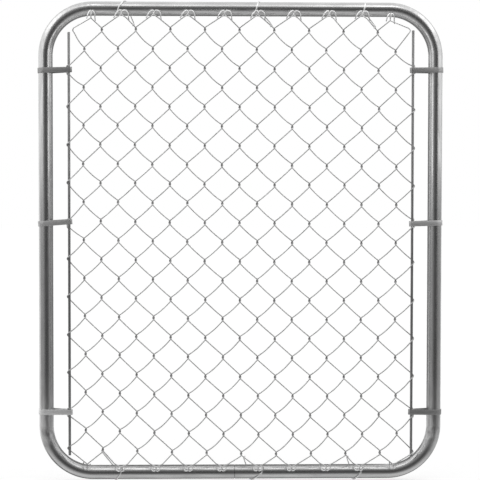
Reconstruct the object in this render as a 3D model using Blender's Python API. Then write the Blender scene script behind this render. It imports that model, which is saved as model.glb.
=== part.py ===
"""Chain-link walk gate: a bent tube frame filled with woven wire fabric.

Metres, +Z up, front face towards -Y. The origin is on the hinge stile's centreline,
level with the underside of the bottom rail.
"""

import math

import bpy
from mathutils import Vector

# Frame tube
FRAME_WIDTH = 0.990
FRAME_HEIGHT = 1.172
TUBE_OD = 0.0349
TUBE_WALL = 0.0016
BEND_RADIUS = 0.115
SEAM_FROM_CENTRE = 0.012
SEAM_GAP = 0.0006
PLUG_LENGTH = 0.045
PLUG_SHOULDER = 0.004

# Woven fabric
PICKET_PAIRS = 10
ROW_COUNT = 12
WIRE_DIAMETER = 0.0029
TURN_HALF_HEIGHT = 0.006
SELVAGE_INSET = 0.0019
FABRIC_SHIFT = -0.0028
FIRST_COLUMN_FROM_ROD = 0.0365
FREE_CORNER_FROM_ROD = 0.0105

# Knuckles: the hooked wire ends along the top and bottom edges
KNUCKLE_CROSS_DROP = 0.0178
HOOK_RADIUS = 0.006
HOOK_CENTRE_OUT = 0.0115
HOOK_CENTRE_DROP = 0.0113
HOOK_START_DEGREES = 140
HOOK_END_DEGREES = -10
HOOK_TAIL_OUT = 0.0145
HOOK_TAIL_DROP = 0.0305
END_KNUCKLE_SHIFT = 0.010

# Tension rods and straps
ROD_DIAMETER = 0.0064
ROD_FROM_STILE = 0.0585
ROD_TOP_DROP = 0.010
ROD_BOTTOM_REACH = 0.012
STRAP_WIDTH = 0.014
STRAP_THICKNESS = 0.0016
STRAP_LAP_START = 0.30
STRAP_LAP_INNER = 0.42
STRAP_LAP_OUTER = 0.70
TOP_STRAP_SHIFT = -0.0066
MIDDLE_STRAP_SHIFT = -0.0025
BOTTOM_STRAP_SHIFT = 0.0073

# Wire ties
TIE_DIAMETER = 0.0032
TIE_TUCK_DEPTH = 0.015
TIE_TUCK_LEAN = 0.0023
TIE_START_SIDE = 0.002
TIE_DRIFT = 0.020
TIE_WRAP_DEGREES = 232
TIE_HOOK_SHARE = 0.80
TIE_HOOK_START_DEGREES = 20
TIE_HOOK_END_DEGREES = -215

CLEARANCE = 0.0003
KNIT_CLEARANCE = 0.0004

# Facets
BEND_SEGMENTS = 8
TUBE_SIDES = 20
WIRE_SIDES = 4
TIE_SIDES = 6
ROD_SIDES = 12
HOOK_SEGMENTS = 2
STRAP_STILE_SEGMENTS = 14
STRAP_ROD_SEGMENTS = 8
TIE_WRAP_SEGMENTS = 10
TIE_HOOK_SEGMENTS = 6

TUBE_RADIUS = TUBE_OD / 2
WIRE_RADIUS = WIRE_DIAMETER / 2
ROD_RADIUS = ROD_DIAMETER / 2
TIE_RADIUS = TIE_DIAMETER / 2
STILE_X = FRAME_WIDTH / 2 - TUBE_RADIUS
TOP_RAIL_Z = FRAME_HEIGHT - TUBE_RADIUS
BOTTOM_RAIL_Z = TUBE_RADIUS
MID_Z = FRAME_HEIGHT / 2

# The fabric hangs flat against the front of the frame: its front and back wire layers
# pass either side of the rods.
LAYER_DEPTH = ROD_RADIUS + CLEARANCE + WIRE_RADIUS
FABRIC_Y = -(TUBE_RADIUS + CLEARANCE + WIRE_RADIUS + LAYER_DEPTH)
KNIT_REACH = (WIRE_DIAMETER + KNIT_CLEARANCE) / 2
ROD_X = STILE_X - ROD_FROM_STILE
EDGE_REACH = ROD_RADIUS + CLEARANCE + WIRE_RADIUS
PICKET_COUNT = 2 * PICKET_PAIRS
COLUMN_PITCH = 2 * (ROD_X - FIRST_COLUMN_FROM_ROD) / (PICKET_COUNT - 2)
ROW_PITCH = (FRAME_HEIGHT - TUBE_OD - 2 * SELVAGE_INSET) / ROW_COUNT
FRONT = -1
BACK = 1
LEFT = -1
RIGHT = 1

# How far a knuckle's wire has moved from its own layer to behind its partner, point by point.
HOOK_EASE = (0.0, 0.07, 0.35, 0.90, 1.0)

# Each strap level: the edge loop it holds, counted from the top, and its offset from it.
STRAP_LEVELS = {
    "top": (1, TOP_STRAP_SHIFT),
    "middle": (5, MIDDLE_STRAP_SHIFT),
    "bottom": (ROW_COUNT - 2, BOTTOM_STRAP_SHIFT),
}

# Each tie sits at a knuckle, so at an odd column.
TIE_COLUMNS = {
    "left": 3,
    "centre": 2 * (PICKET_PAIRS // 2) + 1,
    "right": PICKET_COUNT - 3,
}


def clear_scene():
    for old in list(bpy.data.objects):
        bpy.data.objects.remove(old, do_unlink=True)


def metal(name, colour, roughness):
    material = bpy.data.materials.new(name)
    material.use_nodes = True
    shader = material.node_tree.nodes["Principled BSDF"]
    shader.inputs["Base Color"].default_value = (*colour, 1.0)
    shader.inputs["Metallic"].default_value = 1.0
    shader.inputs["Roughness"].default_value = roughness
    return material


def place(name, data, material, gate, location=(0, 0, 0)):
    piece = bpy.data.objects.new(name, data)
    piece.data.materials.append(material)
    bpy.context.scene.collection.objects.link(piece)
    piece.parent = gate
    piece.location = location
    return piece


def round_wire(name, points, radius, sides):
    """A round bar along points, with closed ends."""
    curve = bpy.data.curves.new(name, "CURVE")
    curve.dimensions = "3D"
    curve.fill_mode = "FULL"
    curve.bevel_depth = radius
    curve.bevel_resolution = int(sides) // 2 - 2
    curve.use_fill_caps = True
    spline = curve.splines.new("POLY")
    spline.points.add(len(points) - 1)
    for slot, point in zip(spline.points, points):
        slot.co = (*point, 1.0)
    return curve


def arc(centre, radius, start, end, segments):
    """Points of a circular arc in a plane, ends included, angles in degrees."""
    points = []
    for step in range(segments + 1):
        angle = math.radians(start + (end - start) * step / segments)
        points.append((centre[0] + radius * math.cos(angle), centre[1] + radius * math.sin(angle)))
    return points


# Frame

def frame_path():
    """The tube's centreline from its socket end, round the frame, to its shoulder."""
    inner_x = STILE_X - BEND_RADIUS
    low_z = BOTTOM_RAIL_Z + BEND_RADIUS
    high_z = TOP_RAIL_Z - BEND_RADIUS
    path = [(-SEAM_FROM_CENTRE, BOTTOM_RAIL_Z)]
    path += arc((inner_x, low_z), BEND_RADIUS, -90, 0, BEND_SEGMENTS)
    path += arc((inner_x, high_z), BEND_RADIUS, 0, 90, BEND_SEGMENTS)
    path += arc((-inner_x, high_z), BEND_RADIUS, 90, 180, BEND_SEGMENTS)
    path += arc((-inner_x, low_z), BEND_RADIUS, 180, 270, BEND_SEGMENTS)
    path.append((-SEAM_FROM_CENTRE - SEAM_GAP - PLUG_SHOULDER, BOTTOM_RAIL_Z))
    return path


def make_frame(gate, zinc):
    """One bent tube whose swaged end plugs into its open end at the bottom seam."""
    curve = round_wire("frame_tube", [(x, 0, z) for x, z in frame_path()], TUBE_RADIUS, TUBE_SIDES)
    curve.use_fill_caps = False
    spline = curve.splines[0]
    full_count = len(spline.points)
    plug_scale = (TUBE_RADIUS - TUBE_WALL - CLEARANCE) / TUBE_RADIUS
    spline.points.add(2)
    plug_start = -SEAM_FROM_CENTRE - SEAM_GAP
    for slot, x in zip(list(spline.points)[full_count:], (plug_start, plug_start + PLUG_LENGTH)):
        slot.co = (x, 0, BOTTOM_RAIL_Z, 1.0)
        slot.radius = plug_scale
    tube = place("frame_tube", curve, zinc, gate)
    wall = tube.modifiers.new("wall", "SOLIDIFY")
    wall.thickness = TUBE_WALL
    wall.offset = -1


# Fabric

def column_x(column):
    return FABRIC_SHIFT + (column - PICKET_PAIRS) * COLUMN_PITCH


def knuckle_x(column):
    """Knuckles stand on their column, but the end ones are drawn in from the frame's corners."""
    if column == 1:
        return column_x(column) + END_KNUCKLE_SHIFT
    if column == PICKET_COUNT - 1:
        return column_x(column) - END_KNUCKLE_SHIFT
    return column_x(column)


def half_row_z(step):
    """Height of a fabric half row: 0 is the top edge, even steps lie on odd columns."""
    return MID_Z + (ROW_COUNT - step) * ROW_PITCH / 2


def edge_row_z(row):
    """Height of an edge loop, counted from the top."""
    return half_row_z(2 * row + 1)


def strap_z(level):
    row, shift = STRAP_LEVELS[level]
    return edge_row_z(row) + shift


def turn(x, z, side, rise=TURN_HALF_HEIGHT):
    """A wire's turn from one layer to the other, top to bottom."""
    arrives = BACK if side == RIGHT else FRONT
    return [
        (x, FABRIC_Y + arrives * LAYER_DEPTH, z + rise),
        (x, FABRIC_Y - arrives * LAYER_DEPTH, z - rise),
    ]


def strapped_turn(x, z, side):
    """A turn that dips between a strap's two legs, beside the rod."""
    inside = STRAP_WIDTH / 2 + WIRE_RADIUS
    first, last = turn(x, z, side, inside + LAYER_DEPTH)
    return [first, (x, FABRIC_Y, z + inside), (x, FABRIC_Y, z - inside), last]


def edge_turn(row, side):
    """A turn on a tension rod; the top one hangs free beside the rod's end."""
    if row == 0:
        return turn(side * (ROD_X - FREE_CORNER_FROM_ROD), edge_row_z(row), side)
    x = side * (ROD_X + EDGE_REACH)
    for level, (strap_row, shift) in STRAP_LEVELS.items():
        if row == strap_row:
            return strapped_turn(x, strap_z(level), side)
    return turn(x, edge_row_z(row), side)


def knuckle(column, side, layer, edge):
    """A wire's end: it crosses its partner, arches over and hooks round the partner's wire."""
    base_x = knuckle_x(column)
    rail_z = TOP_RAIL_Z if edge > 0 else BOTTOM_RAIL_Z
    centre = (HOOK_CENTRE_OUT, -HOOK_CENTRE_DROP)
    arch = arc(centre, HOOK_RADIUS, HOOK_START_DEGREES, HOOK_END_DEGREES, HOOK_SEGMENTS)
    outline = [(0, -KNUCKLE_CROSS_DROP)] + arch + [(HOOK_TAIL_OUT, -HOOK_TAIL_DROP)]
    partner_depth = KNIT_REACH + (LAYER_DEPTH - KNIT_REACH) * HOOK_TAIL_OUT / COLUMN_PITCH
    tail_depth = partner_depth + WIRE_DIAMETER + KNIT_CLEARANCE
    depths = [-KNIT_REACH + (KNIT_REACH + tail_depth) * ease for ease in HOOK_EASE]
    return [
        (base_x + side * out, FABRIC_Y - layer * depth, rail_z + edge * rise)
        for (out, rise), depth in zip(outline, depths)
    ]


def picket_points(number):
    """The centreline of one woven wire from its top hook to its bottom hook."""
    odd = number % 2 == 1
    hook_side = RIGHT if odd else LEFT
    hook_column = number if odd else number - 1
    turn_column = number - 1 if odd else number
    top_layer = FRONT if odd else BACK
    points = knuckle(hook_column, hook_side, top_layer, 1)[::-1]
    for step in range(1, 2 * ROW_COUNT):
        on_hook_column = step % 2 == 0
        column = hook_column if on_hook_column else turn_column
        side = hook_side if on_hook_column else -hook_side
        if column in (0, PICKET_COUNT):
            points += edge_turn(step // 2, side)
        else:
            points += turn(column_x(column) + side * KNIT_REACH, half_row_z(step), side)
    points += knuckle(hook_column, hook_side, -top_layer, -1)
    return points


def make_fabric(gate, zinc):
    for number in range(1, PICKET_COUNT + 1):
        name = f"picket_{number:02d}"
        place(name, round_wire(name, picket_points(number), WIRE_RADIUS, WIRE_SIDES), zinc, gate)


# Rods and straps

def make_rods(gate, steel):
    top = edge_row_z(0) - ROD_TOP_DROP
    bottom = edge_row_z(ROW_COUNT - 1) - ROD_BOTTOM_REACH
    for name, side in (("tension_rod_left", LEFT), ("tension_rod_right", RIGHT)):
        bpy.ops.mesh.primitive_cylinder_add(vertices=ROD_SIDES, radius=ROD_RADIUS, depth=top - bottom)
        rod = bpy.context.object
        rod.name = name
        rod.data.materials.append(steel)
        rod.parent = gate
        rod.location = (side * ROD_X, FABRIC_Y, (top + bottom) / 2)


def strap_path():
    """The strip's centreline round the stile at the origin and a rod on its +X side."""
    stile = Vector((0, 0))
    rod = Vector((ROD_FROM_STILE, FABRIC_Y))
    stile_turn = TUBE_RADIUS + CLEARANCE + STRAP_THICKNESS / 2
    rod_turn = ROD_RADIUS + CLEARANCE + STRAP_THICKNESS / 2
    lean = math.degrees(math.atan2(rod.y, rod.x))
    spread = math.degrees(math.acos((stile_turn - rod_turn) / rod.length))
    back = lean + spread
    front = lean - spread
    out = Vector((math.cos(math.radians(back)), math.sin(math.radians(back))))
    leg_start = rod + out * rod_turn
    leg = stile + out * stile_turn - leg_start
    lap = out * (STRAP_THICKNESS + CLEARANCE)
    path = [leg_start + leg * STRAP_LAP_INNER]
    path += arc(stile, stile_turn, back, front + 360, STRAP_STILE_SEGMENTS)
    path += arc(rod, rod_turn, front, back, STRAP_ROD_SEGMENTS)
    path += [leg_start + leg * STRAP_LAP_START + lap, leg_start + leg * STRAP_LAP_OUTER + lap]
    return path


def make_straps(gate, steel):
    """Flat strips bent round stile and rod, with their ends lapped on the back leg."""
    for side_name, side in (("left", LEFT), ("right", RIGHT)):
        for level in STRAP_LEVELS:
            name = f"strap_{side_name}_{level}"
            curve = bpy.data.curves.new(name, "CURVE")
            curve.dimensions = "2D"
            curve.fill_mode = "NONE"
            curve.extrude = STRAP_WIDTH / 2
            spline = curve.splines.new("POLY")
            path = strap_path()
            spline.points.add(len(path) - 1)
            for slot, (x, y) in zip(spline.points, path):
                slot.co = (-side * x, y, 0, 1.0)
            strap = place(name, curve, steel, gate, (side * STILE_X, 0, strap_z(level)))
            strip = strap.modifiers.new("strip", "SOLIDIFY")
            strip.thickness = STRAP_THICKNESS
            strip.offset = 0
            strip.use_even_offset = True


# Ties

def tie_points(column, edge):
    """A tie tucked behind a knuckle, wound over the rail and hooked on the knuckle's back wire.

    Top ties run to the right; bottom ties are the same turned half round, so they run left.
    """
    base_x = knuckle_x(column)
    rail_z = TOP_RAIL_Z if edge > 0 else BOTTOM_RAIL_Z
    wrap = TUBE_RADIUS + CLEARANCE + TIE_RADIUS
    points = [(TIE_START_SIDE, TIE_TUCK_LEAN - wrap, -TIE_TUCK_DEPTH)]
    turns = arc((0, 0), wrap, 180, 180 - TIE_WRAP_DEGREES, TIE_WRAP_SEGMENTS)
    for step, (y, rise) in enumerate(turns):
        points.append((TIE_START_SIDE + TIE_DRIFT * step / TIE_WRAP_SEGMENTS, y, rise))
    # The back wire runs from the knuckle's crossing to its next turn.
    crossing = Vector((0, FABRIC_Y + KNIT_REACH, -KNUCKLE_CROSS_DROP))
    turn_drop = SELVAGE_INSET + ROW_PITCH / 2 - TURN_HALF_HEIGHT
    next_turn = Vector((COLUMN_PITCH + KNIT_REACH, FABRIC_Y + LAYER_DEPTH, -turn_drop))
    wire = (next_turn - crossing).normalized()
    centre = crossing.lerp(next_turn, TIE_HOOK_SHARE)
    across = Vector((-wire.z, 0, wire.x)).normalized()
    reach = WIRE_RADIUS + TIE_RADIUS + CLEARANCE
    for depth, out in arc((0, 0), reach, TIE_HOOK_START_DEGREES, TIE_HOOK_END_DEGREES, TIE_HOOK_SEGMENTS):
        points.append(centre + across * out + Vector((0, depth, 0)))
    return [(base_x + edge * x, y, rail_z + edge * rise) for x, y, rise in points]


def make_ties(gate, bright):
    for edge_name, edge in (("top", 1), ("bottom", -1)):
        for place_name, column in TIE_COLUMNS.items():
            name = f"tie_{edge_name}_{place_name}"
            place(name, round_wire(name, tie_points(column, edge), TIE_RADIUS, TIE_SIDES), bright, gate)


def main():
    clear_scene()
    gate = bpy.data.objects.new("gate", None)
    bpy.context.scene.collection.objects.link(gate)
    gate.location = (STILE_X, 0, 0)
    make_frame(gate, metal("galvanised_tube", (0.52, 0.52, 0.51), 0.35))
    make_fabric(gate, metal("galvanised_wire", (0.50, 0.50, 0.49), 0.45))
    make_rods(gate, metal("dull_rod", (0.22, 0.22, 0.22), 0.5))
    make_straps(gate, metal("dull_strap", (0.30, 0.30, 0.30), 0.45))
    make_ties(gate, metal("bright_tie", (0.78, 0.78, 0.77), 0.35))


main()
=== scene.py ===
# %% [markdown]
# # A chain-link walk gate
# The gate is one bent steel tube, filled with twenty woven wires. Two thin rods stretch the wires
# sideways, six flat straps hold the rods to the stiles, and six bright ties hold the edges to the rails.
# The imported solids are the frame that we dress: each new piece stands in for one solid.

# %% Load the solids
import math
import random

import bmesh
import bpy
from mathutils import Matrix, Vector


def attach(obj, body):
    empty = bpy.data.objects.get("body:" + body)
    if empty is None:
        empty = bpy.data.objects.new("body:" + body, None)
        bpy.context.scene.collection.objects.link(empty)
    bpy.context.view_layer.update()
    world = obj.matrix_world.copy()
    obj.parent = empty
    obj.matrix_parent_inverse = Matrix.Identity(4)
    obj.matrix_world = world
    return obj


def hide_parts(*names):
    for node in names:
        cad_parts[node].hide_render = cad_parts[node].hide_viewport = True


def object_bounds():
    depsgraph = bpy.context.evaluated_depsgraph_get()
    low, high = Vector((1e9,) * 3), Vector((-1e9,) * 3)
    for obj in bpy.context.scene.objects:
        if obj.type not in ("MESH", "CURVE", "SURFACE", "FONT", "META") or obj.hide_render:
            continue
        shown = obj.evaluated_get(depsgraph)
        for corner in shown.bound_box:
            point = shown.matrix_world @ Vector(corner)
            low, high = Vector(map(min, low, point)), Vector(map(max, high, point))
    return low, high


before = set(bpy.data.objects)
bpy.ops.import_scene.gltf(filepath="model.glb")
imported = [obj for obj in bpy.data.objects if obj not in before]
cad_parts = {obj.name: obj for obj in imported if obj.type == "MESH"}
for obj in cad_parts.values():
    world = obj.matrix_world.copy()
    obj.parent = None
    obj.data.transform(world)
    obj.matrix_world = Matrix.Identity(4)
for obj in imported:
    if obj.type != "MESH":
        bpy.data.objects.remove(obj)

cad_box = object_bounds()
print("solids:", len(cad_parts), "box:", [round(v, 4) for corner in cad_box for v in corner])

# %% [markdown]
# ## Sizes
# Everything hangs on the tube's centreline, so these sizes come first. The middle of the gate is easier
# to model around than its hinge side, so we work there and move each finished mesh over at the end.

# %% Sizes of the frame
FRAME_WIDTH = 0.990
FRAME_HEIGHT = 1.172
TUBE_RADIUS = 0.01745
TUBE_WALL = 0.0016
BEND_RADIUS = 0.115
STILE_X = FRAME_WIDTH / 2 - TUBE_RADIUS
TOP_RAIL_Z = FRAME_HEIGHT - TUBE_RADIUS
BOTTOM_RAIL_Z = TUBE_RADIUS
TO_ROW = Matrix.Translation((STILE_X, 0, 0))
print("stiles at", round(STILE_X, 4), "either side of the middle")

# %% [markdown]
# ## Helpers
# An operator acts on all that is selected, so the selection is cleared before each one. A finished piece
# stays at the origin with its place in its mesh, as the solids do, because its finish reads the object's
# own coordinates. Then the solid it stands for is hidden, it is hung on the root, and it takes its finish.

# %% Select, apply and finish
SMOOTH_ANGLE = 40


def deselect():
    if bpy.context.object and bpy.context.object.mode != "OBJECT":
        bpy.ops.object.mode_set(mode="OBJECT")
    bpy.ops.object.select_all(action="DESELECT")


def activate(piece):
    deselect()
    bpy.context.view_layer.objects.active = piece
    piece.select_set(True)


def apply_modifier(piece, kind, **settings):
    modifier = piece.modifiers.new(kind.lower(), kind)
    for key, value in settings.items():
        setattr(modifier, key, value)
    activate(piece)
    bpy.ops.object.modifier_apply(modifier=modifier.name)


def finish_piece(piece, name, node, material, smooth_angle=SMOOTH_ANGLE):
    piece.name = name
    piece.data.name = name
    piece.data.transform(TO_ROW @ piece.matrix_world)
    piece.matrix_world = Matrix.Identity(4)
    activate(piece)
    bpy.ops.object.shade_smooth_by_angle(angle=math.radians(smooth_angle))
    piece.data.materials.clear()
    piece.data.materials.append(material)
    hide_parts(node)
    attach(piece, "root")


print("finished meshes move", round(TO_ROW.translation.x, 4), "to the right")

# %% [markdown]
# ## Finishes
# Hot-dip zinc is a soft grey metal. It runs down the tube in faint streaks while it sets, and dulls
# unevenly. One flat grey would look like paint, so each finish is a metal shader whose colour and
# roughness are stirred by noise. A few helpers for nodes come first, which the studio uses too.

# %% Helpers for nodes
# A new stop of a ramp starts here, and is then moved to its own position.
NEW_STOP = 0.5


def grey(level):
    return level, level, level, 1


def maths(tree, operation, *values):
    """A Math node. Each value is a plain number or the output of another node."""
    node = tree.nodes.new("ShaderNodeMath")
    node.operation = operation
    for socket, value in zip(node.inputs, values):
        if isinstance(value, (int, float)):
            socket.default_value = value
        else:
            tree.links.new(value, socket)
    return node.outputs["Value"]


def map_range(tree, value, start, full, low=0.0, high=1.0):
    """Runs from low, where the value is start, to high, where it is full, and stays there beyond."""
    node = tree.nodes.new("ShaderNodeMapRange")
    node.inputs["From Min"].default_value = start
    node.inputs["From Max"].default_value = full
    node.inputs["To Min"].default_value = low
    node.inputs["To Max"].default_value = high
    tree.links.new(value, node.inputs["Value"])
    return node.outputs["Result"]


def ramp(tree, value, stops, interpolation="LINEAR"):
    """Greys by a value, given as stops of (value, grey)."""
    node = tree.nodes.new("ShaderNodeValToRGB")
    node.color_ramp.interpolation = interpolation
    while len(node.color_ramp.elements) < len(stops):
        node.color_ramp.elements.new(NEW_STOP)
    for element, (position, level) in zip(node.color_ramp.elements, stops):
        element.position = position
        element.color = grey(level)
    tree.links.new(value, node.inputs["Fac"])
    return node.outputs["Color"]


def object_place(tree):
    return tree.nodes.new("ShaderNodeTexCoord").outputs["Object"]


def mesh_attribute(tree, name, output):
    """What the mesh stores under a name: Vector gives a place, Fac a single value."""
    node = tree.nodes.new("ShaderNodeAttribute")
    node.attribute_name = name
    return node.outputs[output]


print("a middle grey:", grey(0.5))

# %% [markdown]
# On the tube the streaks follow the bends, so its noise reads an attribute of the mesh in place of plain
# coordinates. The other finishes read the object's coordinates, each with its own stretch: a larger
# number makes a finer grain in that direction.

# %% Metal finishes
NOISE_DETAIL = 4.0
NOISE_ROUGHNESS = 0.6
# The noise seldom leaves this range, so the greys and the roughness run over it.
NOISE_LOW, NOISE_HIGH = 0.3, 0.7
RELIEF_DEPTH = 0.0004


def stirring_noise(tree, place, stretch):
    mapping = tree.nodes.new("ShaderNodeMapping")
    mapping.inputs["Scale"].default_value = stretch
    tree.links.new(place, mapping.inputs["Vector"])
    noise = tree.nodes.new("ShaderNodeTexNoise")
    noise.inputs["Scale"].default_value = 1.0
    noise.inputs["Detail"].default_value = NOISE_DETAIL
    noise.inputs["Roughness"].default_value = NOISE_ROUGHNESS
    tree.links.new(mapping.outputs["Vector"], noise.inputs["Vector"])
    return noise.outputs["Fac"]


def metal(name, greys, rough, stretch, source=None, bump=0.0):
    """A metal stirred between two greys and two roughnesses: where it is lighter it is smoother."""
    material = bpy.data.materials.new(name)
    material.use_nodes = True
    tree = material.node_tree
    shader = tree.nodes["Principled BSDF"]
    shader.inputs["Metallic"].default_value = 1.0
    place = mesh_attribute(tree, source, "Vector") if source else object_place(tree)
    noise = stirring_noise(tree, place, stretch)
    dark, light = greys
    colour = ramp(tree, noise, ((NOISE_LOW, dark), (NOISE_HIGH, light)))
    tree.links.new(colour, shader.inputs["Base Color"])
    smoothest, roughest = rough
    roughness = map_range(tree, noise, NOISE_LOW, NOISE_HIGH, roughest, smoothest)
    tree.links.new(roughness, shader.inputs["Roughness"])
    if bump:
        relief = tree.nodes.new("ShaderNodeBump")
        relief.inputs["Strength"].default_value = bump
        relief.inputs["Distance"].default_value = RELIEF_DEPTH
        tree.links.new(noise, relief.inputs["Height"])
        tree.links.new(relief.outputs["Normal"], shader.inputs["Normal"])
    return material


TUBE_ZINC = metal("tube_zinc", greys=(0.50, 0.66), rough=(0.20, 0.34), stretch=(90, 90, 14),
                  source="along_tube", bump=0.05)
WIRE_ZINC = metal("wire_zinc", greys=(0.54, 0.76), rough=(0.30, 0.48), stretch=(90, 90, 90))
ROD_STEEL = metal("rod_steel", greys=(0.24, 0.38), rough=(0.35, 0.50), stretch=(200, 200, 30))
TIE_BRIGHT = metal("tie_bright", greys=(0.82, 0.93), rough=(0.22, 0.35), stretch=(300, 300, 300))
print("finishes:", [m.name for m in (TUBE_ZINC, WIRE_ZINC, ROD_STEEL, TIE_BRIGHT)])

# %% [markdown]
# Near the two rails the hooked ends of the wires are painted brighter, as a painted highlight. The height
# in the object's own coordinates tells the shader how near a rail is. Where two wires are hooked together
# the zinc is painted dark, as painted shade, and so is the whole inside of the tube, which shows at its
# seam.
# No coordinate tells where that is, so the mesh stores it as an attribute.

# %% Painted highlight on the hooks and painted shade at the crossings and inside the tube
HOOK_HIGHLIGHT_GREY = 0.95
CROSSING_SHADE_GREY = 0.14
INSIDE_SHADE_GREY = 0.08
# Metres from the gate's upper or lower edge at which the painted highlight on the hooks starts, and is
# full.
HIGHLIGHT_START, HIGHLIGHT_FULL = 0.040, 0.032
# Where a Mix node keeps its two values and its result, by the kind of data that it mixes.
MIX_SOCKETS = {"FLOAT": (2, 3, 0), "VECTOR": (4, 5, 1), "RGBA": (6, 7, 2)}


def blend_over(material, socket_name, kind, share, value):
    """Blends a value over what reaches a socket of the shader, by a share from 0 to 1."""
    tree = material.node_tree
    socket = tree.nodes["Principled BSDF"].inputs[socket_name]
    first, second, result = MIX_SOCKETS[kind]
    blend = tree.nodes.new("ShaderNodeMix")
    blend.data_type = kind
    tree.links.new(share, blend.inputs["Factor"])
    tree.links.new(socket.links[0].from_socket, blend.inputs[first])
    blend.inputs[second].default_value = value
    tree.links.new(blend.outputs[result], socket)


def tint(material, share, level):
    blend_over(material, "Base Color", "RGBA", share, grey(level))


def object_height(tree):
    axes = tree.nodes.new("ShaderNodeSeparateXYZ")
    tree.links.new(object_place(tree), axes.inputs["Vector"])
    return axes.outputs["Z"]


def nearness_to_rails(tree):
    from_middle = maths(tree, "SUBTRACT", object_height(tree), FRAME_HEIGHT / 2)
    distance = maths(tree, "ABSOLUTE", from_middle)
    return map_range(tree, distance, FRAME_HEIGHT / 2 - HIGHLIGHT_START, FRAME_HEIGHT / 2 - HIGHLIGHT_FULL)


# A painted highlight lightens the hooked ends near the two rails.
tint(WIRE_ZINC, nearness_to_rails(WIRE_ZINC.node_tree), HOOK_HIGHLIGHT_GREY)
# Painted shade darkens the upper half of each crossing, where two wires hook together.
tint(WIRE_ZINC, mesh_attribute(WIRE_ZINC.node_tree, "painted_crossing_shade", "Fac"), CROSSING_SHADE_GREY)
# Painted shade darkens the whole inside of the tube, which shows at its seam.
tint(TUBE_ZINC, mesh_attribute(TUBE_ZINC.node_tree, "inside_tube", "Fac"), INSIDE_SHADE_GREY)
print("hooks are bright within", HIGHLIGHT_START, "of an edge")

# %% [markdown]
# Low on the stiles, where rain splashes up, the zinc has weathered to a paler and duller bloom, which fades
# out again round the bottom bends. Two ranges of the height give its place, and the noise of the finish
# breaks it up into patches, so that it needs no mask painted by hand.

# %% Weathered zinc low on the stiles
BLOOM_GREY = 0.84
BLOOM_ROUGH = 0.55
# The height at which the bloom starts, and at which it is full, coming from above and from below.
BLOOM_ABOVE = (0.26, 0.13)
BLOOM_BELOW = (0.060, 0.105)
# The noise runs over this range from the thinnest to the thickest patches.
PATCH_NOISE = (0.35, 0.65)
PATCH_SHARES = (0.15, 1.0)

tube_tree = TUBE_ZINC.node_tree
tube_height = object_height(tube_tree)
bloom_place = maths(tube_tree, "MULTIPLY", map_range(tube_tree, tube_height, *BLOOM_ABOVE),
                    map_range(tube_tree, tube_height, *BLOOM_BELOW))
streaks = tube_tree.nodes["Noise Texture"].outputs["Fac"]
patches = map_range(tube_tree, streaks, *PATCH_NOISE, *PATCH_SHARES)
bloom = maths(tube_tree, "MULTIPLY", bloom_place, patches)
tint(TUBE_ZINC, bloom, BLOOM_GREY)
blend_over(TUBE_ZINC, "Roughness", "FLOAT", bloom, BLOOM_ROUGH)
print("bloom between", BLOOM_BELOW[0], "and", BLOOM_ABOVE[0])

# %% [markdown]
# ## The tube
# The real frame is one straight length of tube, bent four times in a bender, with its narrowed end pushed
# into its open end. We do as the bender does: a ring is extruded along each rail and stile and spun a
# quarter turn at each bend. A curve with a bevel would also do, but spin keeps the bends truly round.

# %% Set up the bender
BEND_STEPS = 24
MERGE_DISTANCE = 1e-6
INNER_X = STILE_X - BEND_RADIUS
LOW_Z = BOTTOM_RAIL_Z + BEND_RADIUS
HIGH_Z = TOP_RAIL_Z - BEND_RADIUS


def extrude(x, y, z):
    bpy.ops.mesh.extrude_region_move(TRANSFORM_OT_translate={"value": (x, y, z)})


def quarter_bend(x, z):
    bpy.ops.mesh.spin(steps=BEND_STEPS, angle=math.pi / 2, center=(x, 0, z), axis=(0, 1, 0))


def close_seams():
    """Merges doubled points and turns the faces outwards, in edit mode."""
    bpy.ops.mesh.select_all(action="SELECT")
    bpy.ops.mesh.remove_doubles(threshold=MERGE_DISTANCE)
    bpy.ops.mesh.normals_make_consistent(inside=False)


print("bends centred", round(INNER_X, 4), "off the middle, at", round(LOW_Z, 4), "and", round(HIGH_Z, 4))

# %% Sweep the ring round the frame
TUBE_SIDES = 40
SEAM_X = -0.0145
SEAM_GAP = 0.0011
PLUG_LENGTH = 0.045
PLUG_PLAY = 0.0003
PLUG_RADIUS = TUBE_RADIUS - TUBE_WALL - PLUG_PLAY

deselect()
bpy.ops.mesh.primitive_circle_add(vertices=TUBE_SIDES, radius=TUBE_RADIUS)
tube = bpy.context.object
tube.data.transform(Matrix.Translation((SEAM_X, 0, BOTTOM_RAIL_Z)) @ Matrix.Rotation(math.pi / 2, 4, "Y"))
bpy.ops.object.mode_set(mode="EDIT")
bpy.ops.mesh.select_all(action="SELECT")
extrude(INNER_X - SEAM_X, 0, 0)
quarter_bend(INNER_X, LOW_Z)
extrude(0, 0, HIGH_Z - LOW_Z)
quarter_bend(INNER_X, HIGH_Z)
extrude(-2 * INNER_X, 0, 0)
quarter_bend(-INNER_X, HIGH_Z)
extrude(0, 0, LOW_Z - HIGH_Z)
quarter_bend(-INNER_X, LOW_Z)
extrude(SEAM_X - SEAM_GAP + INNER_X, 0, 0)
extrude(0, 0, 0)
bpy.ops.transform.resize(value=(1, PLUG_RADIUS / TUBE_RADIUS, PLUG_RADIUS / TUBE_RADIUS))
extrude(PLUG_LENGTH, 0, 0)
close_seams()
bpy.ops.object.mode_set(mode="OBJECT")
print("tube:", len(tube.data.vertices), "points,", [round(v, 4) for v in tube.dimensions])

# %% [markdown]
# The streaks need to know where they are along the tube. A UV map could tell them, but it would have a
# seam. So each point stores how far out and how far back it lies from the centreline, and its distance
# along it, as if the frame were straightened again. It also stores whether it lies inside the tube.

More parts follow.
